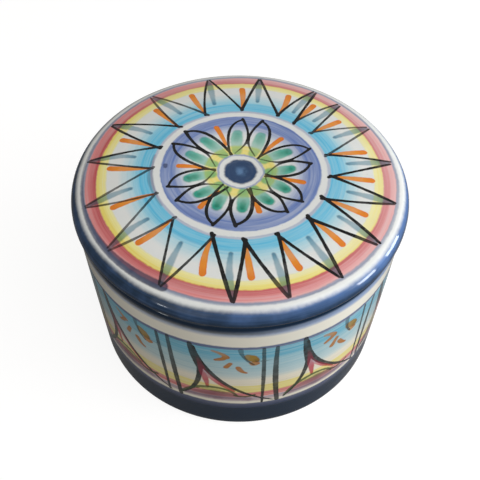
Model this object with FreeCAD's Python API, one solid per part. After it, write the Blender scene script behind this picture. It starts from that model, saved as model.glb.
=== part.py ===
"""A round lidded box of painted, tin-glazed earthenware: a straight-walled body and a drop-in lid.

The frame is +Z up, with the origin at the middle of the ring that the box stands on.
Lengths are in millimetres. Each piece is one fired solid, turned about the upright axis.
"""
import FreeCAD, Part
import math
import os

# Body, outside: a straight wall that narrows a little towards the foot
body_radius = 54.2
body_height = 67.5
foot_inset = 0.5
foot_round = 3.5

# Body, inside, and the rounding of its lip and mouth as shares of the wall
wall = 4.6
floor_thickness = 4.8
floor_corner_round = 6.0
lip_round_share = 0.57
mouth_round_share = 0.17

# Underside: a bare ring to stand on, round a shallow recess
foot_face_width = 4.6
recess_depth = 1.6
recess_round_share = 0.6
foot_inner_round_share = 0.3

# Lid, outside: a rolled rim round a crown that sags a little in the middle
lid_overhang = 0.8
rim_thickness = 6.0
rim_upper_round_share = 0.75
rim_lower_round_share = 0.23
crown_ridge_radius = 25.0
crown_sag = 0.9

# Lid, underside: a flange that drops into the mouth
crown_thickness = 5.4
ceiling_round = 3.0
flange_thickness = 4.0
flange_depth = 6.5
flange_draft = 0.4
flange_edge_round_share = 0.3
flange_root_round = 0.6

# Clearances between the two pieces
seat_gap = 0.3
flange_clearance = 1.2

# The mouth and the seat, from which the lid's rim and flange take their size and place
lid_radius = body_radius + lid_overhang
mouth_radius = body_radius - wall
seat_height = body_height + seat_gap
flange_radius = mouth_radius - flange_clearance


def vector(radius, height):
    """A point of a turned outline, in the half plane that is revolved."""
    return FreeCAD.Vector(radius, 0, height)


def rounded_run(corners):
    """Edges along corners given as (radius, height, round), each corner cut by a tangent arc.

    The arc leaves a corner's two sides at round / tan(half the angle between them), and its
    middle stands round / sin(half the angle) - round from the corner, along the bisector.
    """
    edges = []
    start = vector(*corners[0][:2])
    for before, corner, after in zip(corners, corners[1:], corners[2:]):
        tip = vector(*corner[:2])
        back = (vector(*before[:2]) - tip).normalize()
        ahead = (vector(*after[:2]) - tip).normalize()
        half = back.getAngle(ahead) / 2
        reach = corner[2] / math.tan(half)
        bisector = (back + ahead).normalize()
        middle = tip + bisector * (corner[2] / math.sin(half) - corner[2])
        edges.append(Part.LineSegment(start, tip + back * reach).toShape())
        edges.append(Part.Arc(tip + back * reach, middle, tip + ahead * reach).toShape())
        start = tip + ahead * reach
    edges.append(Part.LineSegment(start, vector(*corners[-1][:2])).toShape())
    return edges


def arc_about(centre, start, end):
    """The short arc about a centre from one point of the outline's plane to another."""
    radius = (start - centre).Length
    middle = centre + ((start + end) / 2 - centre).normalize() * radius
    return Part.Arc(start, middle, end).toShape()


def turned(edges):
    """The solid that a closed outline sweeps in a full turn about the upright axis."""
    outline = Part.Wire(edges)
    return Part.Face(outline).revolve(FreeCAD.Vector(0, 0, 0), FreeCAD.Vector(0, 0, 1), 360)


def box_body():
    """Straight wall with a slight taper, rounded lip and foot, flat floor, ring foot under it."""
    foot_radius = body_radius - foot_inset
    floor_height = recess_depth + floor_thickness
    foot_face_inner = foot_radius - foot_round - foot_face_width
    edges = rounded_run([
        (0, recess_depth, 0),
        (foot_face_inner, recess_depth, recess_depth * recess_round_share),
        (foot_face_inner, 0, recess_depth * foot_inner_round_share),
        (foot_radius, 0, foot_round),
        (body_radius, body_height, wall * lip_round_share),
        (mouth_radius, body_height, wall * mouth_round_share),
        (mouth_radius - foot_inset, floor_height, floor_corner_round),
        (0, floor_height, 0),
    ])
    edges.append(Part.LineSegment(vector(0, floor_height), vector(0, recess_depth)).toShape())
    return turned(edges)


def roll_and_crown():
    """Edges from the rim's widest point over the crown to the axis, each tangent to the next.

    The crown is a swelling arc over the ridge, then a hollow arc of the same radius about a point
    of the axis. Two such arcs meet halfway between their centres, which gives the radius
    (ridge^2 + sag^2) / (4 sag). The rim's upper roll lies inside the swelling arc and touches it.
    """
    roll = rim_thickness * rim_upper_round_share
    roll_centre = vector(lid_radius - roll, seat_height + rim_thickness - roll)
    crown_arc = (crown_ridge_radius**2 + crown_sag**2) / (4 * crown_sag)
    run_in = roll_centre.x - crown_ridge_radius
    rise = math.sqrt((crown_arc - roll)**2 - run_in**2)
    swell_centre = roll_centre - vector(run_in, rise)
    hollow_centre = vector(0, swell_centre.z + 2 * crown_arc - crown_sag)

    widest = roll_centre + vector(roll, 0)
    touch = swell_centre + (roll_centre - swell_centre).normalize() * crown_arc
    turn_over = (swell_centre + hollow_centre) / 2
    middle = hollow_centre - vector(0, crown_arc)
    return [
        arc_about(roll_centre, widest, touch),
        arc_about(swell_centre, touch, turn_over),
        arc_about(hollow_centre, turn_over, middle),
    ]


def lid():
    """A crowned disc with a rolled rim, and under it a flange that drops into the mouth."""
    upper_edges = roll_and_crown()
    widest = upper_edges[0].Vertexes[0].Point
    middle = upper_edges[-1].Vertexes[-1].Point
    ceiling_height = middle.z - crown_thickness
    flange_end = seat_height - flange_depth
    flange_end_radius = flange_radius - flange_draft
    flange_inner = flange_end_radius - flange_thickness
    flange_edge_round = flange_thickness * flange_edge_round_share
    edges = rounded_run([
        (0, ceiling_height, 0),
        (flange_inner, ceiling_height, ceiling_round),
        (flange_inner, flange_end, flange_edge_round),
        (flange_end_radius, flange_end, flange_edge_round),
        (flange_radius, seat_height, flange_root_round),
        (lid_radius, seat_height, rim_thickness * rim_lower_round_share),
        (lid_radius, widest.z, 0),
    ])
    edges += upper_edges
    edges.append(Part.LineSegment(middle, vector(0, ceiling_height)).toShape())
    return turned(edges)


os.makedirs("parts", exist_ok=True)
box_body().exportStep("parts/box_body.step")
lid().exportStep("parts/lid.step")
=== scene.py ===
"""The painted looks of a round lidded box in tin-glazed earthenware.

The body and the lid are closed surfaces turned about the upright axis. Their brushwork is laid
stroke by stroke, as distances on the surface, and the glaze material turns those into paint.
Lengths are in millimetres here, and in metres in the meshes. Angles on the box are in degrees,
anticlockwise from +X as seen from above.
"""
import math

import bpy
import numpy as np
from mathutils import Matrix, Vector


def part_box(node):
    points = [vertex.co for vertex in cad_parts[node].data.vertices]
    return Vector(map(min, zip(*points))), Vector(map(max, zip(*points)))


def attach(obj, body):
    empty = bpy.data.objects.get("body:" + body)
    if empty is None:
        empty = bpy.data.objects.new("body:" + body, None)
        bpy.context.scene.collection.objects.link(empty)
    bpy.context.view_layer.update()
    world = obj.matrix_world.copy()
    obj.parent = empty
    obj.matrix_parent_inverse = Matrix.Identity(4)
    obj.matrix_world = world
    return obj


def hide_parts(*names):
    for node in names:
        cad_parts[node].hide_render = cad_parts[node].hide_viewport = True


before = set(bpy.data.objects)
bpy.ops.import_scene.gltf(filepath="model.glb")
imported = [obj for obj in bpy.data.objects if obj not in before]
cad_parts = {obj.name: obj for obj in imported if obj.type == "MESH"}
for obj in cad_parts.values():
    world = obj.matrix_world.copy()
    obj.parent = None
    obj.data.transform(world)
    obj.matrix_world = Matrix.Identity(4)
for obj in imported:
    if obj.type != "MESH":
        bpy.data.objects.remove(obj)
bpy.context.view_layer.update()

MM = 0.001

# Sizes that the frame gives
LID_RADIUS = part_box("lid")[1].x / MM
FLANGE_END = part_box("lid")[0].z / MM
BODY_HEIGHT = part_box("box_body")[1].z / MM

# Sizes of the two turned outlines, as the pieces were thrown
LID_OVERHANG = 0.8
WALL = 4.6
FOOT_INSET = 0.5
FOOT_ROUND = 3.5
FOOT_FACE_WIDTH = 4.6
RECESS_DEPTH = 1.6
RECESS_ROUND = 0.96
FOOT_INNER_ROUND = 0.48
FLOOR_THICKNESS = 4.8
FLOOR_CORNER_ROUND = 6.0
LIP_ROUND = 2.6
MOUTH_ROUND = 0.8
SEAT_GAP = 0.3
RIM_THICKNESS = 6.0
RIM_UPPER_ROUND = 4.5
RIM_LOWER_ROUND = 1.38
CROWN_RIDGE_RADIUS = 25.0
CROWN_SAG = 0.9
CROWN_THICKNESS = 5.4
CEILING_ROUND = 3.0
FLANGE_CLEARANCE = 1.2
FLANGE_THICKNESS = 4.0
FLANGE_DRAFT = 0.4
FLANGE_EDGE_ROUND = 1.2
FLANGE_ROOT_ROUND = 0.6

BODY_RADIUS = LID_RADIUS - LID_OVERHANG
MOUTH_RADIUS = BODY_RADIUS - WALL
SEAT_HEIGHT = BODY_HEIGHT + SEAT_GAP

# How finely the surfaces are meshed: by the steps along the outline, and around the axis
PAINTED_STEP_LID = 0.456
PAINTED_STEP_WALL = 0.6
PAINTED_STEP_AROUND = 0.36
PLAIN_STEP = 2.2
PLAIN_STEP_AROUND = 1.4
TURN_STEP = math.radians(11)
FEWEST_COLUMNS = 128

# How finely outlines and strokes are drawn
ARC_POINTS = 24
OUTLINE_STEP = 0.05
CURVE_PIECES = 12
SMEAR_POINTS = 30

# A distance from a stroke that its paint doesn't reach
FAR_FROM_PAINT = 4.0

# Colours of the glaze and the paints as the eye sees them, in 8-bit steps
PAINTS = {
    "white": (231, 233, 232),
    "warm_white": (236, 232, 219),
    "cream": (230, 220, 196),
    "clay": (206, 168, 132),
    "navy": (28, 50, 74),
    # The next two blues also serve as painted sheen and painted light on the lit side of the rim and
    # the lip
    "navy_thin": (88, 122, 178),
    "lip_lit_blue": (150, 174, 214),
    "dot_navy": (44, 70, 108),
    "dot_light": (104, 142, 186),
    "periwinkle": (98, 126, 190),
    "periwinkle_thin": (144, 164, 208),
    "lavender": (140, 152, 192),
    "turquoise": (104, 197, 231),
    "turquoise_thin": (138, 210, 232),
    "yellow": (243, 227, 114),
    "yellow_thin": (246, 238, 166),
    "rose": (206, 80, 86),
    "rose_thin": (238, 166, 166),
    "line_blue": (112, 124, 160),
    "wall_line": (66, 90, 136),
    "sky": (90, 172, 200),
    "sky_thin": (128, 184, 202),
    "straw": (232, 216, 118),
    # Also the near-black of the painted shade under the lid's rim and at the top of the body's lip
    "foot_blue": (4, 32, 56),
    "orange": (236, 146, 48),
    "ochre": (200, 136, 64),
    "grey_blue": (108, 158, 180),
    "teal": (60, 188, 164),
    "viridian": (20, 138, 108),
    "slate": (62, 72, 108),
    "black": (22, 23, 26),
    "ink": (38, 46, 44),
    "crimson": (206, 56, 92),
    "moss": (84, 110, 62),
    "moss_thin": (150, 168, 96),
    "olive": (160, 126, 50),
    "mauve": (168, 142, 156),
}


def seen(name):
    """A paint's colour as linear light, from its 8-bit steps, with full cover."""
    steps = np.array(PAINTS[name]) / 255
    linear = np.where(steps <= 0.04045, steps / 12.92, ((steps + 0.055) / 1.055) ** 2.4)
    return (*linear.tolist(), 1.0)


# Outlines


def blend_directions(first, last, count):
    """Directions from first to last at an even turn: each end's sine share of the angle between."""
    angle = math.acos(np.clip(first @ last, -1, 1))
    share = np.linspace(0, 1, count)[:, None]
    return (np.sin((1 - share) * angle) * first + np.sin(share * angle) * last) / math.sin(angle)


def arc_about(centre, start, end):
    """Points of the short arc about a centre: the centre plus the radius times each direction."""
    radius = np.linalg.norm(start - centre)
    ends = (start - centre) / radius, (end - centre) / radius
    return centre + radius * blend_directions(*ends, ARC_POINTS)


def rounded_run(corners):
    """Points along corners (radius, height, round), each cut by an arc that touches both sides.

    The arc leaves the sides at round / tan(half their angle) from the corner, and its centre
    stands round / sin(half their angle) from it, along the bisector.
    """
    runs = [np.array([corners[0][:2]], float)]
    for before, corner, after in zip(corners, corners[1:], corners[2:]):
        tip, back, ahead = (np.array(place[:2], float) for place in (corner, before, after))
        back, ahead = ((side - tip) / np.linalg.norm(side - tip) for side in (back, ahead))
        half = math.acos(back @ ahead) / 2
        reach = corner[2] / math.tan(half)
        bisector = (back + ahead) / np.linalg.norm(back + ahead)
        centre = tip + bisector * corner[2] / math.sin(half)
        runs.append(arc_about(centre, tip + back * reach, tip + ahead * reach))
    runs.append(np.array([corners[-1][:2]], float))
    return np.vstack(runs)


def body_outline():
    """The body's outline, from the middle of the floor up the inside, over the lip and down."""
    foot_radius = BODY_RADIUS - FOOT_INSET
    foot_face_inner = foot_radius - FOOT_ROUND - FOOT_FACE_WIDTH
    floor_height = RECESS_DEPTH + FLOOR_THICKNESS
    return rounded_run([
        (0, floor_height, 0),
        (MOUTH_RADIUS - FOOT_INSET, floor_height, FLOOR_CORNER_ROUND),
        (MOUTH_RADIUS, BODY_HEIGHT, MOUTH_ROUND),
        (BODY_RADIUS, BODY_HEIGHT, LIP_ROUND),
        (foot_radius, 0, FOOT_ROUND),
        (foot_face_inner, 0, FOOT_INNER_ROUND),
        (foot_face_inner, RECESS_DEPTH, RECESS_ROUND),
        (0, RECESS_DEPTH, 0),
    ])


def lid_outline():
    """The lid's outline, from the crown's middle over the rim, under it, and along the flange.

    The crown is a hollow arc about a point of the axis, then a swelling arc of the same radius
    over the ridge, (ridge^2 + sag^2) / (4 sag), which the rim's upper roll touches from inside.
    """
    roll_centre = np.array([LID_RADIUS, SEAT_HEIGHT + RIM_THICKNESS]) - RIM_UPPER_ROUND
    crown_arc = (CROWN_RIDGE_RADIUS**2 + CROWN_SAG**2) / (4 * CROWN_SAG)
    run_in = roll_centre[0] - CROWN_RIDGE_RADIUS
    rise = math.sqrt((crown_arc - RIM_UPPER_ROUND) ** 2 - run_in**2)
    swell_centre = roll_centre - (run_in, rise)
    hollow_centre = np.array([0, swell_centre[1] + 2 * crown_arc - CROWN_SAG])
    to_roll = roll_centre - swell_centre
    touch = swell_centre + to_roll * crown_arc / np.linalg.norm(to_roll)
    turn_over = (swell_centre + hollow_centre) / 2
    middle = hollow_centre - (0, crown_arc)
    widest = roll_centre + (RIM_UPPER_ROUND, 0)

    ceiling = middle[1] - CROWN_THICKNESS
    flange_radius = MOUTH_RADIUS - FLANGE_CLEARANCE
    flange_end_radius = flange_radius - FLANGE_DRAFT
    flange_inner = flange_end_radius - FLANGE_THICKNESS
    underside = rounded_run([
        (LID_RADIUS, widest[1], 0),
        (LID_RADIUS, SEAT_HEIGHT, RIM_LOWER_ROUND),
        (flange_radius, SEAT_HEIGHT, FLANGE_ROOT_ROUND),
        (flange_end_radius, FLANGE_END, FLANGE_EDGE_ROUND),
        (flange_inner, FLANGE_END, FLANGE_EDGE_ROUND),
        (flange_inner, ceiling, CEILING_ROUND),
        (0, ceiling, 0),
    ])
    hollow = arc_about(hollow_centre, middle, turn_over)
    swell = arc_about(swell_centre, turn_over, touch)
    roll = arc_about(roll_centre, touch, widest)
    return np.vstack([hollow, swell[1:], roll[1:], underside[1:]])


def within(values, limits):
    """Which values lie between two limits."""
    return (values > limits[0]) & (values < limits[1])


class Outline:
    """A turned outline whose places are told by their run, the length along it from its start."""

    def __init__(self, points):
        apart = np.linalg.norm(np.diff(points, axis=0), axis=1)
        points = points[np.r_[True, apart > 1e-9]]
        corner_run = np.r_[0, np.cumsum(np.linalg.norm(np.diff(points, axis=0), axis=1))]
        self.length = corner_run[-1]
        self.run = np.linspace(0, self.length, round(self.length / OUTLINE_STEP))
        self.radius, self.height = (np.interp(self.run, corner_run, values) for values in points.T)

    def at(self, run):
        """The radius and the height at a run."""
        return np.interp(run, self.run, self.radius), np.interp(run, self.run, self.height)

    def run_where(self, values, wanted, low, high):
        """The run between two others where the radii or the heights come nearest to a value."""
        inside = (self.run >= low) & (self.run <= high)
        return self.run[inside][np.argmin(np.abs(values[inside] - wanted))]

    def rows(self, painted, painted_step):
        """Runs of the mesh's rows: a row after each step of length, or sooner where it turns.

        A row falls wherever the sum of length / step and turn / turn step passes a whole number.
        """
        heading = np.unwrap(np.arctan2(np.gradient(self.height), np.gradient(self.radius)))
        step = np.where(within(self.run, painted), painted_step, PLAIN_STEP)
        pace = np.gradient(self.run) / step + np.abs(np.gradient(heading)) / TURN_STEP
        count = np.r_[0, np.cumsum(pace[1:])]
        return np.interp(np.linspace(0, count[-1], round(count[-1]) + 1), count, self.run)


# Turned meshes


def columns_of_rows(radii, runs, painted):
    """How many columns each row has: a doubling of the fewest, and at most twice a neighbour's."""
    limit = np.where(within(runs, painted), PAINTED_STEP_AROUND, PLAIN_STEP_AROUND)
    doublings = np.ceil(np.log2(np.maximum(2 * np.pi * radii / limit / FEWEST_COLUMNS, 1)))
    for order in (range(1, len(doublings)), range(len(doublings) - 2, -1, -1)):
        for row in order:
            beside = doublings[row - 1 if order.step > 0 else row + 1]
            doublings[row] = max(doublings[row], beside - 1)
    return (FEWEST_COLUMNS * 2**doublings).astype(int)


def faces_between(row, columns, next_columns):
    """Faces between a row and the next, as corners (row, column share) and never wrapped.

    Rows of equal count make quads. Where the count doubles or halves, each wide step meets two
    narrow ones in three triangles. A row of one column is a pole, with a fan of triangles. Each
    part gives its corners' rows, and their steps from the face's first share.
    """
    here, there = row, row + 1
    most = max(columns, next_columns)
    first = np.arange(most) / most
    if columns == next_columns:
        parts = (((here, 0), (there, 0), (there, 1), (here, 1)),)
    elif columns == 1:
        parts = (((here, 0), (there, 0), (there, 1)),)
    elif next_columns == 1:
        parts = (((here, 0), (there, 0), (here, 1)),)
    elif columns < next_columns:
        first = first[::2]
        parts = (
            ((here, 0), (there, 0), (there, 1)),
            ((here, 0), (there, 1), (here, 2)),
            ((here, 2), (there, 1), (there, 2)),
        )
    else:
        first = first[::2]
        parts = (
            ((here, 0), (there, 0), (here, 1)),
            ((here, 1), (there, 0), (there, 2)),
            ((here, 1), (there, 2), (here, 2)),
        )
    return np.vstack([
        np.stack([corner_of(place, first + step / most) for place, step in part], 1)
        for part in parts
    ])


def corner_of(row, shares):
    """Corners of one row at these shares of the full turn."""
    return np.stack([np.full(len(shares), float(row)), shares], 1)


def placed(name, data):
    """A new object of some data, put into the scene."""
    thing = bpy.data.objects.new(name, data)
    bpy.context.scene.collection.objects.link(thing)
    return thing


def turned_piece(name, plan, painted_step, wobble, charts, paint_fields):
    """A closed surface turned about the axis: radius and height along the outline, by the turn.

    wobble moves each point outwards by a hand-made unevenness. charts lay the surface out flat
    for a bake, and paint_fields gives the brushwork's distances at each vertex.
    """
    runs = plan.outline.rows(plan.painted, painted_step)
    radii, heights = plan.outline.at(runs)
    radii[[0, -1]] = 0
    columns = columns_of_rows(radii, runs, plan.painted)
    columns[[0, -1]] = 1
    starts = np.r_[0, np.cumsum(columns)[:-1]]

    vertex_row = np.repeat(np.arange(len(runs)), columns)
    share = (np.arange(columns.sum()) - starts[vertex_row]) / columns[vertex_row]
    angle = 2 * np.pi * share
    run, height = runs[vertex_row], heights[vertex_row]
    radius = radii[vertex_row] + wobble(angle, height) * (radii[vertex_row] > 0)
    places = np.stack([radius * np.cos(angle), radius * np.sin(angle), height], 1)

    faces, corners = [], []
    for row in range(len(runs) - 1):
        block = faces_between(row, columns[row], columns[row + 1])
        row_of, share_of = block[..., 0].astype(int), block[..., 1]
        column = np.rint(share_of * columns[row_of]).astype(int) % columns[row_of]
        faces += (starts[row_of] + column).tolist()
        middles = runs[row_of].mean(1, keepdims=True), share_of.mean(1, keepdims=True)
        told = np.broadcast_arrays(runs[row_of], share_of, *middles)
        corners.append(np.stack(told, 2).reshape(-1, 4))

    mesh = bpy.data.meshes.new(name)
    mesh.from_pydata(places * MM, [], faces)
    mesh.shade_smooth()
    layer = mesh.uv_layers.new(name="OFBake")
    flat = laid_flat(np.vstack(corners), charts)
    layer.data.foreach_set("uv", flat.astype(np.float32).ravel())
    fields = {"run": run, **paint_fields(places, angle, run, height)}
    for label, values in fields.items():
        attribute = mesh.attributes.new(label, "FLOAT", "POINT")
        attribute.data.foreach_set("value", np.asarray(values, np.float32))
    return placed(name, mesh)


def laid_flat(corners, charts):
    """Flat places of face corners (run, share of the turn, and the face's own middle of both).

    A disc chart lays a stretch of runs round a centre, at its distance from the chart's pole. A
    strip chart lays a stretch of runs and shares along straight rows.
    """
    run, share, mid_run, mid_share = corners.T
    flat = np.zeros((len(corners), 2))
    for chart in charts:
        low, high = chart["runs"]
        left, right = chart.get("shares", (0, 1))
        chosen = (mid_run >= low) & (mid_run < high) & (mid_share >= left) & (mid_share < right)
        if "pole" in chart:
            reach = np.abs(run[chosen] - chart["pole"]) * chart["scale"]
            turn = 2 * np.pi * share[chosen]
            laid = reach * np.cos(turn), reach * np.sin(turn)
        else:
            across = (share[chosen] - left) / (right - left) * chart["width"]
            laid = across, (run[chosen] - low) * chart["scale"]
        flat[chosen] = np.stack(laid, 1) + chart["place"]
    return flat


# Brush strokes


def curve(*points):
    """Points along a Bezier curve: its control points, weighted by their Bernstein polynomials.

    Two points are a straight line, and stay as they are.
    """
    degree = len(points) - 1
    if degree == 1:
        return points
    share = np.linspace(0, 1, CURVE_PIECES + 1)[:, None]
    orders = range(degree + 1)
    weights = [math.comb(degree, k) * share**k * (1 - share) ** (degree - k) for k in orders]
    return sum(weight * np.array(point, float) for weight, point in zip(weights, points))


def polar(degrees, reach):
    """A flat place at an angle and a distance from the middle."""
    turn = math.radians(degrees)
    return np.array([reach * math.cos(turn), reach * math.sin(turn)])


class Brushwork:
    """The strokes laid on one surface, as fields over its vertices, one pair for each paint.

    PAINT_edge is the distance outside the nearest stroke's edge, and below zero inside it.
    PAINT_load is how much paint that stroke holds there, from 0 to 1. places are the flat
    places of the vertices, among which the strokes are laid.
    """

    def __init__(self, places, paints):
        self.places = places
        self.fields = {}
        for paint in paints:
            self.fields[f"{paint}_edge"] = np.full(len(places), FAR_FROM_PAINT)
            self.fields[f"{paint}_load"] = np.ones(len(places))

    def lay(self, paint, line, widths, loads=(1, 1)):
        """Lays a stroke along a line, with widths and loads that run evenly between their values.

        For each short piece of the line: the distance to its nearest point, less half the width
        there. The piece with the least counts.
        """
        line = np.asarray(line, float)
        along_line = np.r_[0, np.cumsum(np.linalg.norm(np.diff(line, axis=0), axis=1))]
        along_line /= along_line[-1]
        half = np.interp(along_line, np.linspace(0, 1, len(widths)), widths) / 2
        load = np.interp(along_line, np.linspace(0, 1, len(loads)), loads)
        reach = FAR_FROM_PAINT + half.max()
        inside = within(self.places, (line.min(0) - reach, line.max(0) + reach))
        near = np.flatnonzero(inside.all(1))
        if not len(near):
            return
        start, step = line[:-1], np.diff(line, axis=0)
        offset = self.places[near][:, None] - start
        along = np.clip((offset * step).sum(2) / (step**2).sum(1), 0, 1)
        gap = np.linalg.norm(offset - along[..., None] * step, axis=2)
        edges = gap - half[:-1] - along * np.diff(half)
        best = edges.argmin(1)[:, None]
        edge = np.take_along_axis(edges, best, 1)[:, 0]
        share = np.take_along_axis(along, best, 1)[:, 0]
        held = load[:-1][best[:, 0]] + share * np.diff(load)[best[:, 0]]
        field, store = self.fields[f"{paint}_edge"], self.fields[f"{paint}_load"]
        closer = edge < field[near]
        field[near[closer]] = edge[closer]
        store[near[closer]] = held[closer]


# The paints of each piece's strokes, in the order in which they lie: how soft and how ragged the
# edge is, how well the paint covers, how much it hides what is under it, and how far it pools
LID_BRUSHES = (
    ("slate", 0.3, 0.3, 0.9, 0.6, 0.5),
    ("teal", 0.5, 0.5, 1.0, 0.3, 0.5),
    ("viridian", 0.6, 0.6, 0.9, 0.4, 0.5),
    ("grey_blue", 0.35, 0.4, 0.9, 0.1, 0.5),
    ("orange", 0.16, 0.3, 1.1, 0.92, 0.45),
    ("black", 0.07, 0.22, 1.08, 0.9, 0.5),
)
BODY_BRUSHES = (
    ("mauve", 0.9, 1.4, 0.9, 0.25, 0.5),
    ("moss_thin", 0.6, 0.8, 0.9, 0.3, 0.5),
    ("olive", 0.35, 0.7, 1.15, 0.9, 0.5),
    ("ochre", 0.2, 0.4, 1.0, 0.75, 0.5),
    ("ink", 0.12, 0.3, 1.0, 0.65, 0.5),
    ("crimson", 0.25, 0.4, 0.88, 0.45, 0.5),
    ("moss", 0.2, 0.4, 0.9, 0.6, 0.5),
)


# The lid's picture: a dot, a rosette of twelve petals, and a sun of seventeen rays

LID_SEED = 11
RAY_TIP_REACH = 50.0
RAY_WIDTHS = np.array([0.8, 1.1, 1.0, 0.9, 1.05, 1.15])

# Each ray: the degrees of its tip and of the root before the next ray, the reach of that root,
# how far its two sides bow outwards, as shares of their length, how heavy its strokes are, and
# the degrees at which its grey-blue wash starts
RAYS = (
    (7, 15, 29.6, 0.00, 0.01, 1.0, 7),
    (28, 37.5, 30.6, 0.01, 0.01, 0.9, 28),
    (45.5, 52.3, 30.4, 0.02, 0.00, 0.95, 44.5),
    (58, 65, 30.2, 0.03, 0.00, 1.0, 58.8),
    (82.5, 89.8, 30.0, 0.00, -0.01, 1.0, 81.8),
    (104.5, 114.8, 30.0, 0.03, 0.00, 1.0, 105.5),
    (130.5, 136.5, 29.6, 0.03, 0.01, 0.9, 128.5),
    (153.5, 160.3, 29.2, 0.035, 0.01, 1.0, 151),
    (175, 180.3, 28.8, 0.02, 0.01, 0.95, 170.8),
    (198.3, 203, 28.6, 0.035, -0.01, 0.85, 195.8),
    (220, 226.8, 29.2, 0.03, -0.01, 0.85, 217),
    (243.8, 254.5, 29.2, 0.02, 0.00, 0.95, 242),
    (268.3, 273.5, 29.8, 0.01, 0.01, 1.15, 265.5),
    (286.5, 293, 29.6, 0.01, 0.02, 1.22, 286.5),
    (305.5, 316, 29.4, 0.00, 0.02, 1.2, 305.3),
    (325.5, 335.3, 28.9, 0.01, 0.01, 1.15, 327.5),
    (346, 355.5, 29.4, 0.00, 0.03, 1.05, 345.8),
)

# Each pair of petals: the degrees of its middle line, and the reach of its two tips
PETAL_PAIRS = (
    (16.5, 22.7, 24.7),
    (81.0, 24.7, 24.4),
    (144.7, 25.6, 25.1),
    (207.5, 23.8, 23.7),
    (259.3, 24.5, 23.4),
    (317.0, 22.6, 23.1),
)

# The reach of a petal for which the places of its strokes are told
PETAL_REACH = 24.5

# Each orange dash between the petals: its degrees, and the reach of its two ends
ROSETTE_DASHES = (
    (113, 13.0, 21.8), (48, 11.2, 20.2), (345.5, 10.4, 20.6),
    (288.5, 11.4, 18.8), (233.8, 11.6, 20.4), (176.5, 11.2, 20.0),
)

# Smears of slate, two along the bands' edges on the left and a blot: places along each, as
# degrees, reach and width, and then its loads
SMEARS = (
    (((165, 50.9, 0.5), (195, 50.8, 1.1), (215, 50.6, 2.0), (232, 50.2, 2.7), (245, 49.9, 2.9)),
     (0.5, 0.9, 1)),
    (((168, 28.8, 0.8), (190, 29.0, 2.0), (214, 28.9, 0.8)), (0.4, 0.5, 0.35)),
    (((176.6, 24.4, 1.5), (178.4, 24.3, 1.3)), (0.9, 0.9)),
)


def paint_rays(work, rng):
    """Seventeen rays: two black strokes from each tip to the roots beside it, with dashes between.

    A side's middle is moved sideways by twice its bow times its length. Light rays hold less
    paint. An orange dash leaves each root, and a wash of grey-blue runs up into each tip.
    """
    for number, (tip, root, root_reach, bow_after, bow_before, weight, dash) in enumerate(RAYS):
        _, root_before, reach_before, *_ = RAYS[number - 1]
        spread = rng.uniform(0.25, 0.75)
        sides = (
            (tip + spread, root, root_reach, bow_after, 1),
            (tip - spread, root_before, reach_before, bow_before, -1),
        )
        for start_degrees, end_degrees, end_reach, bow, side in sides:
            start = polar(start_degrees, RAY_TIP_REACH + rng.uniform(-0.4, 0.4))
            end = polar(end_degrees, end_reach)
            ahead = (end - start) / np.linalg.norm(end - start)
            beyond = end + ahead * rng.uniform(0.3, 1.4)
            chord = beyond - start
            sideways = np.array([-chord[1], chord[0]]) * side
            middle = (start + beyond) / 2 - sideways * 2 * bow
            widths = weight * rng.uniform(0.85, 1.1) * RAY_WIDTHS
            held = min(1, 1 - 1.3 * (1 - weight))
            loads = held * np.array([rng.uniform(0.88, 1), rng.uniform(0.92, 1), 1, 1])
            work.lay("black", curve(start, middle, beyond), widths, loads)
        lean = rng.uniform(-1.2, 1.2)
        dash_end = root + rng.uniform(-1.5, 1.5)
        orange = curve(polar(root, root_reach + 0.8), polar(root + lean, 36), polar(dash_end, 42.2))
        work.lay("orange", orange, (0.8, 1.6, 2.1, 2.2), (1, 0.9, 0.9, 1))
        wash_start = polar(dash + lean, 35 + rng.uniform(-0.8, 0.8))
        wash = curve(wash_start, polar(dash, 42), polar(tip, 49.2))
        work.lay("grey_blue", wash, (1.3, 1.7, 2.3, 2.4, 1.1), (1, 0.75, 0.8, 0.95, 0.95))


def paint_petals(work, rng):
    """Six pairs of petals. Each petal has an outer side and an inner one that meets its twin's.

    From where the twins meet, a thin foot crosses to the other side. The teal and the green at a
    petal's heart are wetter towards the front, by the sine of the pair's angle.
    """
    for middle, *reaches in PETAL_PAIRS:
        wet = 0.62 - 0.3 * math.sin(math.radians(middle))
        for side, reach in zip((-1, 1), reaches):
            def at(degrees, distance):
                """A place at degrees to this petal's side of the pair's middle line."""
                return polar(middle + side * degrees, distance)
            size = reach / PETAL_REACH
            end = at(33 + rng.uniform(-2, 2), 8.2)
            outer = curve(at(8.6, reach), at(22, 22.6 * size), at(28, 15.5), end)
            waist = at(0.9, 14.6)
            inner = curve(at(8, reach + 0.5), at(3, 20.5 * size), at(0.2, 17.8), waist)
            foot = curve(waist, at(1.5, 11.8), at(12, 10.2), at(24 + rng.uniform(-3, 3), 8.4))
            heavy = rng.uniform(0.86, 1.16)
            work.lay("black", outer, heavy * np.array([0.85, 1.1, 1.1, 0.8]), (1, 1, 0.95, 0.9))
            work.lay("black", inner, heavy * np.array([1.2, 1.0, 0.9, 0.9]))
            work.lay("black", foot, (0.95, 0.6, 0.5), (1, 0.8, 0.6))
            blob = curve(at(13, 17.6 * size), at(16, 14.6), at(17, 9.2))
            loads = min(1, wet + 0.48) * np.array([1, 0.85, 0.6, 0.75])
            work.lay("teal", blob, (3.4, 4.2, 3.8, 3.2), loads)
            heart = curve(at(13.5, 17.2 * size), at(14, 15.4), at(16, 13.4))
            loads = wet * np.array([0.85, rng.uniform(0.5, 0.95), 0.4])
            work.lay("viridian", heart, (1.6, 2.0, 1.2), loads)
    for degrees, near, far in ROSETTE_DASHES:
        bend = polar(degrees + rng.uniform(-2, 2), (near + far) / 2)
        line = curve(polar(degrees, near), bend, polar(degrees, far))
        work.lay("orange", line, (1.1, 1.6, 1.9), (0.9, 0.95, 1))


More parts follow.
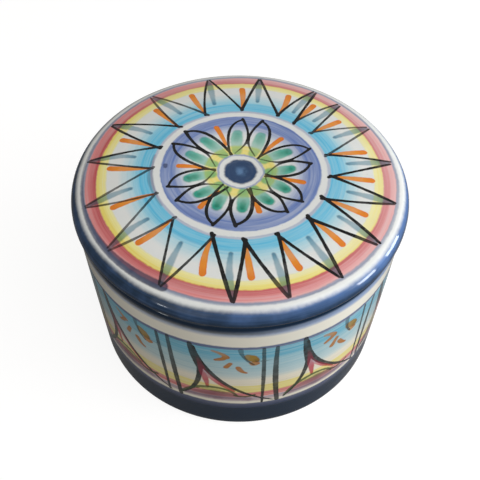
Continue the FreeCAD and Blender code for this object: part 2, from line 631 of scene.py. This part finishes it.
def lid_paint(places, angle, run, height):
    """The lid's fields: the strokes on its top, and none on the rest."""
    paints = [brush[0] for brush in LID_BRUSHES]
    work = Brushwork(places[:, :2], paints)
    rng = np.random.default_rng(LID_SEED)
    paint_petals(work, rng)
    paint_rays(work, rng)
    for smear, loads in SMEARS:
        degrees, reaches, widths = np.array(smear).T
        turns = np.linspace(degrees[0], degrees[-1], SMEAR_POINTS)
        line = [polar(turn, np.interp(turn, degrees, reaches)) for turn in turns]
        work.lay("slate", line, np.interp(turns, degrees, widths), loads)
    for paint in paints:
        work.fields[f"{paint}_edge"][run > LID.rim_end] = FAR_FROM_PAINT
    return work.fields


# The wall's picture: ten tents between pairs of bars

WALL_SEED = 23

# Each tent: the degrees of its top, and how far its bars stand to the right at their top and foot
TENTS = (
    (-142, 0, 0), (-105.7, -1.0, -2.2), (-68.3, 1.6, -1.0), (-32.3, 0.4, 0), (3, -0.5, 0.6),
    (39.5, 0.8, -0.4), (75.5, 0, 0.9), (111, -0.7, -0.3), (146.5, 0.5, 0.5), (-178, -0.4, -1.0),
)


# Places on a tent are told for this width: to the right of its top, and the height on the wall.
# Each is scattered by about so many mm when it is painted.
TENT_WIDTH = 34
TENT_SCATTER = 0.3

# Where two strokes of its left side meet
TENT_JOIN = (2.6, 41)

# Its strokes in their order: paint, places along the line (None is the join), widths, and loads
# if they aren't full
TENT_STROKES = (
    ("ink", ((0.2, 55.6), (1.0, 49), None), (1.6, 2.3, 2.4), (0.9, 1, 1)),
    ("ink", (None, (3.0, 33), (0.6, 26), (-4.4, 19.2)), (2.2, 1.9, 1.5, 0.8)),
    ("ink", ((1.2, 53.6), (3.4, 38.5), (11, 29), (26, 18.8)), (1.6, 2.0, 1.4, 0.6)),
    ("crimson", ((2.2, 47.5), (4.0, 37.5), (5.0, 29.4)), (0.9, 2.6, 1.0), (0.15, 0.7, 1, 1)),
    ("crimson", ((4.2, 40), (7.4, 33.5), (13.6, 27.0)), (1.9, 1.7, 1.0), (0.4, 1, 1)),
    ("mauve", ((-2.5, 21.4), (7, 25.6), (18, 21.6)), (2.6, 6.4, 2.4), (0.9, 1, 0.8)),
    ("moss_thin", ((3.5, 26.2), (8, 27.6), (12.6, 24.8)), (1.6, 2.4, 1.2), (0.5, 0.6, 0.4)),
    ("moss", ((-4.2, 20.6), (0.5, 31), (10.5, 31), (13.8, 24.2)), (1.0, 1.6, 1.3, 0.9)),
    ("moss", ((13.8, 24.2), (16.5, 22.6), (20.4, 24.8)), (0.9, 1.1, 1.1)),
    ("ochre", ((7.2, 53.0), (10.6, 51.4), (11.2, 50.0)), (1.2, 1.7, 1.9), (0.7, 0.9, 1)),
    ("ochre", ((11.2, 50.0), (9.8, 48.6), (8.2, 47.8)), (1.8, 1.8, 1.3)),
    ("ochre", ((12.6, 46.6), (11.0, 43.2)), (1.7, 2.0)),
    ("ochre", ((14.4, 43.4), (15.2, 40.6), (17.2, 40.0)), (2.0, 1.8, 1.0)),
    ("olive", ((17.0, 51.0), (18.3, 49.5), (19.4, 48.0)), (2.6, 4.2, 3.2), (0.8, 0.9, 1)),
    ("ochre", ((18.6, 46.6), (19.4, 45.9), (20.4, 46.3)), (1.4, 2.4, 1.8), (0.9, 1)),
    ("ink", ((15.2, 54.8), (15.6, 48.6), (18.8, 45.4)), (1.8, 0.9, 0.7), (0.55, 0.75, 0.8)),
    ("ink", ((19.6, 46.9), (21.8, 46.5), (25.0, 47.6)), (0.6, 0.5, 0.4), (0.6, 0.5, 0.4)),
)

# The two bars to its right: how far right at each of three heights, and their widths
BARS = (((23.0, 24.1, 25.4), (1.2, 1.5, 0.9)), ((27.0, 27.4, 29.4), (1.2, 1.8, 1.5)))
BAR_HEIGHTS = (55.0, 38, 18.4)
BAR_LOADS = (0.82, 0.95, 1)

# The height above which the wall is painted by brush, and one that no stroke comes near
LOWEST_PAINT = 12
OFF_THE_WALL = -100


def paint_tent(work, width, bars_top, bars_foot, rng):
    """One tent of a width in mm, its bars moved to the right by these mm at their top and foot."""
    def near(x, y):
        """A place of the tent as it is painted: widened with the tent, and scattered."""
        return np.array([x * width / TENT_WIDTH, y]) + rng.normal(0, TENT_SCATTER, 2)

    def lay(paint, points, widths, loads=(1, 1)):
        """One stroke along a curve, a little thinner or thicker than its widths."""
        work.lay(paint, curve(*points), np.array(widths) * rng.uniform(0.88, 1.12), loads)

    join = near(*TENT_JOIN)
    for paint, points, *widths_and_loads in TENT_STROKES:
        scattered = [join if point is None else near(*point) for point in points]
        lay(paint, scattered, *widths_and_loads)
    shifts = bars_top, (bars_top + bars_foot) / 2, bars_foot
    for across, widths in BARS:
        line = [near(x + shift, y) for x, shift, y in zip(across, shifts, BAR_HEIGHTS)]
        lay("ink", line, widths, BAR_LOADS)


def wall_paint(places, angle, run, height):
    """The body's fields: the tents on its wall, each in its own flat strip, and none on the rest."""
    around = 2 * math.pi * BODY_RADIUS
    work = Brushwork(places[:, :2], [brush[0] for brush in BODY_BRUSHES])
    rng = np.random.default_rng(WALL_SEED)
    outside = (run > BODY.lip_run) & (height > LOWEST_PAINT)
    for number, (top, bars_top, bars_foot) in enumerate(TENTS):
        turn = angle / (2 * math.pi) - top / 360
        across = ((turn + 0.5) % 1 - 0.5) * around
        work.places = np.stack([across, np.where(outside, height, OFF_THE_WALL)], 1)
        pitch = (TENTS[(number + 1) % len(TENTS)][0] - top) % 360
        paint_tent(work, pitch / 360 * around, bars_top, bars_foot, rng)
    return work.fields


# Node trees


class Tree:
    """Adds nodes to one node tree. A socket or a plain value may feed any input."""

    def __init__(self, tree):
        self.tree = tree

    def add(self, kind, feeds=(), **settings):
        """A node of a kind, with its settings and what feeds its inputs, by their name or place."""
        node = self.tree.nodes.new(f"ShaderNode{kind}")
        for label, value in settings.items():
            setattr(node, label, value)
        for place, value in dict(feeds).items():
            self.feed(node.inputs[place], value)
        return node

    def feed(self, socket, value):
        """Links another node's output to a socket, or sets the socket's plain value."""
        if isinstance(value, bpy.types.NodeSocket):
            self.tree.links.new(value, socket)
        else:
            socket.default_value = value

    def math(self, operation, *values, clamp=False):
        """An operation on plain numbers, kept between 0 and 1 if clamped."""
        feeds = enumerate(values)
        return self.add("Math", feeds, operation=operation, use_clamp=clamp).outputs[0]

    def times(self, first, second, clamp=False):
        return self.math("MULTIPLY", first, second, clamp=clamp)

    def plus(self, first, second):
        return self.math("ADD", first, second)

    def less(self, first, second):
        return self.math("SUBTRACT", first, second)

    def along(self, place, direction):
        """How far a place lies in a direction: the sum of the products of their three parts."""
        feeds = {0: place, 1: direction}
        return self.add("VectorMath", feeds, operation="DOT_PRODUCT").outputs["Value"]

    def vector(self, operation, *values):
        return self.add("VectorMath", enumerate(values), operation=operation).outputs[0]

    def mix(self, share, under, over, blend_type="MIX"):
        """Two colours mixed: the share, then the colour under and the one over it."""
        feeds = {0: share, 6: under, 7: over}
        return self.add("Mix", feeds, data_type="RGBA", blend_type=blend_type).outputs[2]

    def smooth(self, value, start, end, low=0.0, high=1.0):
        """A soft step from low at start to high at end."""
        feeds = {0: value, 1: start, 2: end, 3: low, 4: high}
        return self.add("MapRange", feeds, interpolation_type="SMOOTHSTEP").outputs[0]

    def between(self, value, start, full, fading, end):
        """One from full to fading, after a soft step up from start and before one down to end."""
        return self.times(self.smooth(value, start, full), self.smooth(value, end, fading))

    def centred(self, value, width):
        """Noise moved to lie round zero, times a width."""
        return self.times(self.less(value, 0.5), width)

    def noise(self, place, scale, detail=2.0, roughness=0.5):
        feeds = {"Vector": place, "Scale": scale, "Detail": detail, "Roughness": roughness}
        return self.add("TexNoise", feeds).outputs[0]

    def attribute(self, label):
        return self.add("Attribute", attribute_name=label).outputs["Fac"]

    def group(self, group, **feeds):
        """A group placed in this tree, with inputs fed by their names in lower case."""
        node = self.add("Group", node_tree=group)
        for socket in node.inputs:
            if socket.name.lower() in feeds:
                self.feed(socket, feeds[socket.name.lower()])
        return node.outputs

    def give(self, **values):
        """Ends a group: feeds its outputs by their names in lower case, and gives the group."""
        result = self.tree.nodes.new("NodeGroupOutput")
        for label, value in values.items():
            self.tree.links.new(value, result.inputs[label.title()])
        return self.tree


def empty_tree(owner):
    """The node tree of a material or a world, cleared."""
    owner.use_nodes = True
    owner.node_tree.nodes.clear()
    return Tree(owner.node_tree)


def new_group(name, inputs, outputs):
    """An empty shader group with named inputs (name, kind, default) and outputs (name, kind).

    Gives its tree and the sockets that its inputs are read from.
    """
    group = bpy.data.node_groups.new(name, "ShaderNodeTree")
    for label, kind, default in inputs:
        kind = f"NodeSocket{kind}"
        socket = group.interface.new_socket(name=label, in_out="INPUT", socket_type=kind)
        if default is not None:
            socket.default_value = default
    for label, kind in outputs:
        group.interface.new_socket(name=label, in_out="OUTPUT", socket_type=f"NodeSocket{kind}")
    return Tree(group), group.nodes.new("NodeGroupInput").outputs


def wheel_marks_group():
    """What the banding wheel leaves: fine streaks round the axis, and a slow waver of the hand.

    The noise is read at (run x fineness, direction from the axis), so it changes fast across a
    band and slowly along it. Place is in millimetres, and so is Run.
    """
    tree, source = new_group(
        "wheel_marks",
        [("Place", "Vector", None), ("Run", "Float", 0.0), ("Fineness", "Float", 1.2)],
        [("Streak", "Float"), ("Waver", "Float")],
    )
    flat = tree.vector("MULTIPLY", source["Place"], (1.0, 1.0, 0.0))
    heading = tree.vector("NORMALIZE", flat)
    parts = tree.add("SeparateXYZ", {0: heading}).outputs
    across = tree.times(source["Run"], source["Fineness"])
    streak_place = tree.add("CombineXYZ", {0: across, 1: parts[0], 2: parts[1]}).outputs[0]
    streak = tree.noise(streak_place, 1.0, detail=3.0, roughness=0.6)
    slow_run = tree.times(source["Run"], 0.12)
    waver_place = tree.add("CombineXYZ", {0: slow_run, 1: parts[0], 2: parts[1]}).outputs[0]
    waver = tree.noise(waver_place, 2.6, detail=2.0)
    return tree.give(streak=streak, waver=waver)


def brushed_group():
    """One paint's strokes laid over what is there.

    The edge is roughened by a fine noise and softened. Thin paint lets the colour under it
    through, as that colour times the pigment, and thick paint covers it with the pigment. Along
    its edge and at its full end the paint pools, and is multiplied by the pigment once more.
    """
    tree, source = new_group(
        "brushed",
        [
            ("Under", "Color", None), ("Pigment", "Color", None), ("Place", "Vector", None),
            ("Edge", "Float", FAR_FROM_PAINT), ("Load", "Float", 1.0), ("Softness", "Float", 0.1),
            ("Ragged", "Float", 0.2), ("Cover", "Float", 0.8), ("Body", "Float", 0.5),
            ("Pooling", "Float", 0.5),
        ],
        [("Colour", "Color")],
    )
    under, pigment, place, load = (source[label] for label in ("Under", "Pigment", "Place", "Load"))
    fine = tree.noise(place, 0.9, detail=3.0)
    edge = tree.plus(source["Edge"], tree.centred(fine, source["Ragged"]))
    mask = tree.smooth(edge, source["Softness"], tree.times(source["Softness"], -1.0))
    pooled = tree.smooth(tree.noise(place, 0.28), 0.3, 0.7, 0.9, 1.0)
    cover = tree.times(tree.times(source["Cover"], load), pooled)
    share = tree.times(mask, cover, clamp=True)
    through = tree.mix(1.0, under, pigment, "MULTIPLY")
    laid = tree.mix(source["Body"], through, pigment)
    along_edge = tree.smooth(edge, -0.5, -0.1, 0.0, 0.5)
    pool = tree.plus(along_edge, tree.smooth(load, 0.93, 1.0, 0.0, 0.6))
    pool = tree.times(pool, source["Pooling"], clamp=True)
    laid = tree.mix(pool, laid, tree.mix(1.0, laid, pigment, "MULTIPLY"))
    return tree.give(colour=tree.mix(share, under, laid))


def fired_surface_group():
    """The fired surface: gloss and relief of the glaze, and the dry grain of bare clay.

    The glaze's height is a slow swell and a fine ripple, less the pits at the middles of
    scattered cells. The mottle is a slow change of tone, and is darker in the pits.
    """
    tree, source = new_group(
        "fired_surface",
        [("Place", "Vector", None), ("Bare", "Float", 0.0)],
        [("Roughness", "Float"), ("Height", "Float"), ("Mottle", "Color")],
    )
    place, bare = source["Place"], source["Bare"]
    swell = tree.noise(place, 0.055)
    ripple = tree.noise(place, 0.32, detail=1.0)
    grain = tree.noise(place, 2.2, detail=4.0, roughness=0.65)
    from_pit = tree.add("TexVoronoi", {"Vector": place, "Scale": 0.21}).outputs["Distance"]
    pit = tree.smooth(from_pit, 0.055, 0.03)
    gloss = tree.smooth(swell, 0.3, 0.7, 0.04, 0.09)
    roughness = tree.math("MAXIMUM", gloss, tree.times(bare, 0.82))
    glaze_height = tree.plus(tree.times(swell, 0.55), tree.times(ripple, 0.1))
    glaze_height = tree.less(glaze_height, tree.times(pit, 0.12))
    clay_height = tree.times(grain, tree.times(bare, 0.5))
    tone = tree.smooth(tree.noise(place, 0.07, detail=3.0), 0.25, 0.75)
    mottle = tree.mix(tone, (0.965, 0.962, 0.95, 1.0), (1.0, 1.0, 1.0, 1.0))
    mottle = tree.mix(tree.times(pit, 0.35), mottle, (0.55, 0.5, 0.42, 1.0))
    height = tree.plus(glaze_height, clay_height)
    return tree.give(roughness=roughness, height=height, mottle=mottle)


def banded(tree, run, stops):
    """The wheel's bands by their run: a paint and how far it covers, evenly between its stops."""
    start, end = stops[0][0], stops[-1][0]
    share = tree.add("MapRange", {0: run, 1: start, 2: end, 3: 0.0, 4: 1.0}).outputs[0]
    node = tree.add("ValToRGB", {0: share})
    elements = node.color_ramp.elements
    while len(elements) < len(stops):
        elements.new(0.5)
    for element, (place, paint, cover) in zip(elements, stops):
        element.position = (place - start) / (end - start)
        element.color = (*seen(paint)[:3], cover)
    return node.outputs["Color"], node.outputs["Alpha"]


# The bands of the banding wheel: where each stop is, its paint, and how far it covers. The lid's
# are told by their run, and the body's by their height on the wall.

LID_BANDS = (
    (0.0, "dot_navy", 1.0), (5.1, "dot_navy", 1.0), (5.8, "dot_navy", 0.0),
    (7.0, "lavender", 0.0), (7.3, "lavender", 0.8), (7.7, "lavender", 0.7),
    (8.0, "yellow", 0.9), (11.4, "yellow", 0.9), (12.4, "yellow", 0.0),
    (15.6, "periwinkle_thin", 0.0), (17.8, "periwinkle_thin", 0.2), (19.8, "periwinkle_thin", 0.7),
    (21.0, "periwinkle", 0.7), (22.4, "periwinkle", 1.0), (24.0, "periwinkle", 0.84),
    (25.8, "periwinkle", 0.98), (26.2, "periwinkle", 0.0), (27.9, "lavender", 0.0),
    (28.4, "lavender", 0.6), (28.8, "lavender", 0.6), (29.2, "turquoise", 0.95),
    (32.4, "turquoise", 1.0), (35.0, "turquoise_thin", 0.7), (39.6, "turquoise_thin", 0.0),
    (43.0, "yellow", 0.0), (43.5, "yellow_thin", 0.95), (46.1, "yellow", 0.95),
    (46.5, "rose", 0.95), (50.0, "rose_thin", 0.9), (50.4, "line_blue", 0.75),
    (50.9, "line_blue", 0.75), (51.5, "line_blue", 0.0),
)
BODY_BANDS = (
    # The top stops, under the lid's rim, are near-black as painted shade, over the lip's own blue
    # that fades down to white
    (67.3, "foot_blue", 0.0), (67.0, "foot_blue", 1.0), (65.2, "foot_blue", 1.0),
    (63.9, "navy", 0.85), (62.9, "navy_thin", 0.6), (61.5, "navy_thin", 0.0),
    (56.5, "wall_line", 0.0), (56.1, "wall_line", 0.95), (54.9, "wall_line", 0.95),
    (54.6, "sky", 0.95), (49.6, "sky", 0.95), (46.6, "sky_thin", 0.85),
    (40.8, "sky_thin", 0.68), (37.8, "sky_thin", 0.5), (34.6, "cream", 0.5),
    (31.6, "cream", 0.7), (30.8, "straw", 0.85), (26.6, "straw", 0.9), (26.0, "rose", 0.9),
    (23.0, "rose", 0.8), (22.6, "rose_thin", 0.5), (22.3, "line_blue", 0.95),
    (21.6, "mauve", 0.85), (20.2, "mauve", 0.75), (19.3, "cream", 0.4), (18.4, "cream", 0.4),
    (18.0, "slate", 0.85), (17.2, "slate", 0.95), (13.6, "foot_blue", 1.0),
    (2.2, "foot_blue", 1.0), (1.2, "foot_blue", 0.0),
)

# Where the bands are streaky: these fade in and out between the first two and the last two
LID_STREAKED = (2.0, 12.0, 56.0, 57.0)
WALL_STREAKED = (57.0, 55.0, 20.5, 19.0)

# The rim's navy starts nearer to the middle on the left than on the right: mm per mm of place
RIM_PAINT_LEAN = (0.006, 0.006, 0.0)

# The lit side, on which the rim's navy and the lip's blue are painted lighter and bluer as
# painted light, as shares per mm of place
PAINTED_LIGHT_SIDE = (0.01, -0.002, 0.0)

# The lit side, towards which the lid's yellow and rose are painted lighter as painted light,
# and away from which they are painted darker as painted shade, in the same measure
BAND_LIT_SIDE = (0.009, 0.004, 0.0)


class LidPlan:
    """The lid's outline, and the runs at which its parts and its paint start and end."""

    def __init__(self):
        self.outline = shape = Outline(lid_outline())
        self.widest = shape.run_where(shape.radius, LID_RADIUS, 0, shape.length)
        self.rim_end = shape.run_where(shape.height, SEAT_HEIGHT, self.widest, shape.length)
        under_rim = self.rim_end, shape.length
        self.flange_start = shape.run_where(shape.radius, MOUTH_RADIUS - 0.8, *under_rim)
        self.flange_end = shape.run_where(shape.height, FLANGE_END, *under_rim)
        self.painted = (0, 53.4)
        self.paint_end = self.rim_end + 0.6


class BodyPlan:
    """The body's outline, from the inside over the lip, and the runs of its lip, paint and foot."""

    def __init__(self):
        self.outline = shape = Outline(body_outline())
        over_lip = 50, shape.length / 2 + 10
        self.lip_run = shape.run_where(shape.radius, BODY_RADIUS - WALL / 2, *over_lip)
        self.foot_run = shape.run_where(shape.height, 0, self.lip_run, shape.length)
        self.painted = (self.run_down(56.4), self.run_down(17.6))

    def run_down(self, height):
        """The run at a height on the outside, going down from the lip."""
        outside = (self.outline.run > self.lip_run) & (self.outline.run < self.foot_run + 1)
        return np.interp(-height, -self.outline.height[outside], self.outline.run[outside])


LID, BODY = LidPlan(), BodyPlan()


def start_material(name, groups):
    """A material with the place on the piece in millimetres, its run, and the wheel's marks."""
    material = bpy.data.materials.new(name)
    tree = empty_tree(material)
    place = tree.vector("SCALE", tree.add("TexCoord").outputs["Object"])
    place.node.inputs["Scale"].default_value = 1 / MM
    run = tree.attribute("run")
    marks = tree.group(groups["wheel_marks"], place=place, run=run)
    return material, tree, place, run, marks


def finish_material(tree, groups, place, colour, bare):
    """The glossy glaze over the painted colour, and the dry clay where the glaze stops."""
    surface = tree.group(groups["fired_surface"], place=place, bare=bare)
    colour = tree.mix(1.0, colour, surface["Mottle"], "MULTIPLY")
    colour = tree.mix(bare, colour, seen("clay"))
    relief = {"Height": surface["Height"], "Distance": 0.0001, "Strength": 0.6}
    shader = tree.add("BsdfPrincipled", {
        "Base Color": colour, "Roughness": surface["Roughness"],
        "Normal": tree.add("Bump", relief).outputs[0], "IOR": 1.43,
    })
    tree.add("OutputMaterial", {"Surface": shader.outputs[0]})


def wheel_bands(tree, run, marks, place, stops, streaked, ground):
    """The wheel's bands on the glaze's ground: their edges waver, and their paint is streaky.

    The streaks fade in between the first two runs of streaked, and out between its last two. In
    a streak the paint covers less, or lies twice, as its colour multiplied by itself.
    """
    waver = tree.centred(marks["Waver"], 1.1)
    fine = tree.centred(tree.noise(place, 0.7, detail=3.0), 0.45)
    wavy_run = tree.plus(tree.plus(run, waver), fine)
    colour, cover = banded(tree, wavy_run, stops)
    streaks = tree.between(run, *streaked)
    missing = tree.times(streaks, tree.smooth(marks["Streak"], 0.6, 0.3, 0.0, 0.24))
    twice = tree.times(streaks, tree.smooth(marks["Streak"], 0.5, 0.75, 0.0, 0.36))
    thick = tree.mix(twice, colour, colour, "MULTIPLY")
    cover = tree.times(cover, tree.less(1.0, missing))
    return tree.mix(cover, seen(ground), thick), wavy_run


def strokes(tree, groups, colour, place, brushes):
    """All paints' strokes over a colour, from the two fields that the brushwork left of each."""
    for paint, softness, ragged, cover, body, pooling in brushes:
        colour = tree.group(
            groups["brushed"], under=colour, pigment=seen(paint), place=place,
            edge=tree.attribute(f"{paint}_edge"), load=tree.attribute(f"{paint}_load"),
            softness=softness, ragged=ragged, cover=cover, body=body, pooling=pooling,
        )["Colour"]
    return colour


def lid_material(groups):
    """White glaze with the bands, the rim and the strokes, and bare clay round the flange.

    The yellow and the rose are painted lighter on the lit side as painted light, and darker on the
    other side, as their colour times itself, as painted shade. The dot has a light spot. The rim's
    navy is painted lighter and bluer on the lit side and on top as painted sheen, with random
    streaks and clouds of thin paint, and near-black underneath as painted shade.
    """
    material, tree, place, run, marks = start_material("lid_majolica", groups)
    colour, wavy = wheel_bands(tree, run, marks, place, LID_BANDS, LID_STREAKED, "white")
    # Painted light and shade on the outer bands: the yellow and the rose are lighter towards the lit
    # side, and darker, as their colour times itself, away from it
    facing = tree.along(place, BAND_LIT_SIDE)
    outer = tree.between(run, 42.0, 46.0, 50.0, 51.0)
    painted_light = tree.times(outer, tree.smooth(facing, -0.1, 0.5, 0.0, 0.16))
    heavy = tree.times(outer, tree.smooth(facing, 0.1, -0.5, 0.0, 0.5))
    heavy = tree.times(heavy, tree.smooth(run, 43.5, 47.5))
    colour = tree.mix(painted_light, colour, seen("white"))
    colour = tree.mix(heavy, colour, colour, "MULTIPLY")
    cloud = tree.smooth(tree.noise(place, 0.35), 0.3, 0.62)
    spot = tree.times(tree.smooth(wavy, 3.2, 0.2), cloud)
    colour = tree.mix(tree.times(spot, 0.8), colour, seen("dot_light"))

    on_rim = tree.smooth(tree.less(wavy, tree.along(place, RIM_PAINT_LEAN)), 52.3, 54.2)
    # Painted sheen: the rim's navy is lighter and bluer towards the lit side and on its upper roll,
    # and random streaks and clouds of thin paint are added to that
    side = tree.smooth(tree.along(place, PAINTED_LIGHT_SIDE), -0.2, 0.6)
    thin = tree.times(side, tree.smooth(run, LID.widest - 0.2, LID.widest - 4.2))
    streaky = tree.smooth(marks["Streak"], 0.6, 0.36, 0.0, 0.12)
    cloudy = tree.smooth(tree.noise(place, 0.16, detail=3.0), 0.4, 0.8, 0.0, 0.26)
    thin = tree.plus(tree.times(thin, 0.75), tree.plus(streaky, cloudy))
    rim = tree.mix(thin, seen("navy"), seen("navy_thin"))
    # Painted shade: the rim's underside is near-black
    shade_under_rim = tree.smooth(run, LID.widest - 1.2, LID.widest + 1.0)
    rim = tree.mix(shade_under_rim, rim, seen("foot_blue"))
    colour = tree.mix(on_rim, colour, rim)
    past_paint = tree.smooth(run, LID.paint_end - 0.5, LID.paint_end)
    colour = tree.mix(past_paint, colour, seen("white"))
    colour = strokes(tree, groups, colour, place, LID_BRUSHES)
    start, end = LID.flange_start, LID.flange_end
    bare = tree.between(run, start, start + 0.6, end + 4.0, end + 4.6)
    finish_material(tree, groups, place, colour, bare)
    return material


def body_material(groups):
    """White glaze with the wall's bands and tents, and bare clay where the box stands.

    Just under the lip, the blue is painted lighter on the lit side, as painted light, and the
    lip's top is near-black as painted shade.
    """
    material, tree, place, run, marks = start_material("body_majolica", groups)
    stops = [(float(BODY.run_down(height)), *stop) for height, *stop in BODY_BANDS]
    streaked = [BODY.run_down(height) for height in WALL_STREAKED]
    colour, _ = wheel_bands(tree, run, marks, place, stops, streaked, "warm_white")
    # Painted light: on the lit side, the blue just under the lip is a lighter blue
    side = tree.smooth(tree.along(place, PAINTED_LIGHT_SIDE), 0.0, 0.5, 0.0, 0.7)
    lip = [BODY.run_down(height) for height in (65.8, 64.4, 63.5, 61.5)]
    colour = tree.mix(tree.times(tree.between(run, *lip), side), colour, seen("lip_lit_blue"))
    colour = strokes(tree, groups, colour, place, BODY_BRUSHES)
    foot = BODY.foot_run
    bare = tree.between(run, foot - 0.6, foot, foot + 5.6, foot + 6.2)
    finish_material(tree, groups, place, colour, bare)
    return material


# Hand-made unevenness


def body_wobble(angle, height):
    """A slightly oval wall, most so at half height: waves of two, three and seven a turn."""
    rise = np.sin(np.pi * np.clip(height / BODY_HEIGHT, 0, 1))
    oval = 0.13 * np.cos(2 * angle + 0.7) + 0.07 * np.cos(3 * angle + 2.1)
    return rise * (oval + 0.03 * np.cos(7 * angle))


def lid_wobble(angle, height):
    """A slightly oval rim: waves of two and five a turn."""
    return 0.1 * np.cos(2 * angle + 2.4) + 0.04 * np.cos(5 * angle + 0.4)


# Charts for a bake, in shares of its square: discs for the lid's two sides and for the body's
# inside and underside, and two strips for the wall

TO_THE_END = 999
LID_CHARTS = (
    {"runs": (0, 62), "pole": 0, "scale": 0.355 / 62, "place": (0.362, 0.362)},
    {"runs": (62, TO_THE_END), "pole": LID.outline.length,
     "scale": 0.13 / 70, "place": (0.862, 0.862)},
)
WALL_FROM, WALL_TO = BODY.lip_run, BODY.foot_run
STRIP = {"runs": (WALL_FROM, WALL_TO), "width": 0.98, "scale": 0.98 / (math.pi * BODY_RADIUS)}
BODY_CHARTS = (
    {**STRIP, "shares": (0, 0.5), "place": (0.01, 0.01)},
    {**STRIP, "shares": (0.5, 1), "place": (0.01, 0.43)},
    {"runs": (0, WALL_FROM), "pole": 0, "scale": 0.07 / WALL_FROM, "place": (0.08, 0.92)},
    {"runs": (WALL_TO, TO_THE_END), "pole": BODY.outline.length,
     "scale": 0.06 / 56, "place": (0.24, 0.92)},
)


# The stage

ROOM_LIGHT = 0.35
ROOM_LEAN = (0.17, -0.06, 0.1)

# How much of the white background is mirrored: the room round the box is darker than its backdrop
MIRRORED_SHARE = 0.05

# How white the floor is where it is seen directly
FLOOR_GLOW = 0.87

# The lamps: the two angles and the distance at which each stands from the middle of the box, its
# width and height, its power and its colour. A soft one is high in front, a window low on the
# right, and a faint pale wall on the left. The panes are mirrored in the rim as bright streaks.
BOX_MIDDLE = (0, 0, 60)
LAMPS = (
    ("soft_box", -45, 50, 900, (700, 700), 3.5, (0.97, 0.98, 1.0)),
    ("window", -12, 20, 900, (500, 500), 1.5, (0.95, 0.98, 1.0)),
    ("pale_wall", -122, 16, 900, (500, 600), 0.5, (1.0, 0.98, 0.93)),
    ("near_pane", -17, 7, 500, (110, 140), 0.75, (0.92, 0.96, 1.0)),
    ("far_pane", 5, 7, 500, (110, 140), 0.75, (0.92, 0.96, 1.0)),
    ("small_pane", -130, 4, 500, (45, 45), 0.06, (0.92, 0.96, 1.0)),
)


def add_camera():
    """The camera at the photograph's angle: a place, a downward tilt and a small roll."""
    eye = Vector((0.24, -147.9, 221.2)) * MM
    tilt, roll = math.radians(50.81), math.radians(1.03)
    ahead = Vector((0, math.cos(tilt), -math.sin(tilt)))
    level = Vector((1, 0, 0))
    above = level.cross(ahead)
    right = level * math.cos(roll) + above * math.sin(roll)
    up = above * math.cos(roll) - level * math.sin(roll)
    data = bpy.data.cameras.new("camera")
    data.lens, data.sensor_width = 48.0, 36.0
    data.clip_start, data.clip_end = 0.01, 20
    camera = placed("camera", data)
    camera.matrix_world = Matrix((right, up, -ahead)).transposed().to_4x4()
    camera.location = eye
    bpy.context.scene.camera = camera


def background_share(tree):
    """How much of the white background a ray meets: all of it seen directly or through glass."""
    path = tree.add("LightPath").outputs
    direct = tree.math("MAXIMUM", path["Is Camera Ray"], path["Is Transmission Ray"])
    return tree.math("MAXIMUM", direct, tree.times(path["Is Glossy Ray"], MIRRORED_SHARE))


def add_floor():
    """A wide pale floor, brighter where it is seen directly, that keeps its shadows."""
    reach, drop = 3.0, 0.0001
    mesh = bpy.data.meshes.new("floor")
    sides = (-1, -1), (1, -1), (1, 1), (-1, 1)
    corners = [(x * reach, y * reach, -drop) for x, y in sides]
    mesh.from_pydata(corners, [], [(0, 1, 2, 3)])
    floor = placed("floor", mesh)
    material = bpy.data.materials.new("pale_floor")
    tree = empty_tree(material)
    shader = tree.add("BsdfPrincipled", {
        "Base Color": (0.18, 0.176, 0.172, 1), "Roughness": 0.9, "Emission Color": (1, 1, 1, 1),
        "Emission Strength": tree.times(background_share(tree), FLOOR_GLOW),
    })
    tree.add("OutputMaterial", {"Surface": shader.outputs[0]})
    mesh.materials.append(material)


def set_world():
    """Soft light from all round, stronger from the right, and plain white where seen directly."""
    world = bpy.data.worlds.new("studio")
    tree = empty_tree(world)
    lean = tree.along(tree.add("TexCoord").outputs["Generated"], ROOM_LEAN)
    room = tree.plus(lean, ROOM_LIGHT)
    lit = tree.add("Background", {"Color": (1.0, 0.97, 0.91, 1), "Strength": room}).outputs[0]
    white = tree.add("Background", {"Color": (1, 1, 1, 1), "Strength": 1.0}).outputs[0]
    both = tree.add("MixShader", {0: background_share(tree), 1: lit, 2: white}).outputs[0]
    tree.add("OutputWorld", {"Surface": both})
    bpy.context.scene.world = world


def add_lamps():
    """Rectangular soft lamps round the box, each turned towards its middle."""
    aim = Vector(BOX_MIDDLE)
    for name, azimuth, elevation, distance, size, power, colour in LAMPS:
        side, rise = math.radians(azimuth), math.radians(elevation)
        flat = math.cos(rise)
        step = Vector((flat * math.cos(side), flat * math.sin(side), math.sin(rise)))
        place = aim + step * distance
        data = bpy.data.lights.new(name, "AREA")
        data.shape = "RECTANGLE"
        data.size, data.size_y = size[0] * MM, size[1] * MM
        data.energy, data.color = power, colour
        lamp = placed(name, data)
        lamp.location = place * MM
        lamp.rotation_mode = "QUATERNION"
        lamp.rotation_quaternion = (aim - place).to_track_quat("-Z", "Y")


# Assembly


def add_pieces():
    """The painted body and lid, each riding on its own part of the box."""
    groups = {
        "wheel_marks": wheel_marks_group(),
        "brushed": brushed_group(),
        "fired_surface": fired_surface_group(),
    }
    body = turned_piece(
        "painted_body", BODY, PAINTED_STEP_WALL, body_wobble, BODY_CHARTS, wall_paint
    )
    body.data.materials.append(body_material(groups))
    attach(body, "box")
    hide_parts("box_body")

    lid = turned_piece("painted_lid", LID, PAINTED_STEP_LID, lid_wobble, LID_CHARTS, lid_paint)
    lid.data.materials.append(lid_material(groups))
    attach(lid, "cover")
    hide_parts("lid")


add_camera()
add_pieces()
add_floor()
set_world()
add_lamps()
bpy.context.scene.view_settings.view_transform = "Standard"
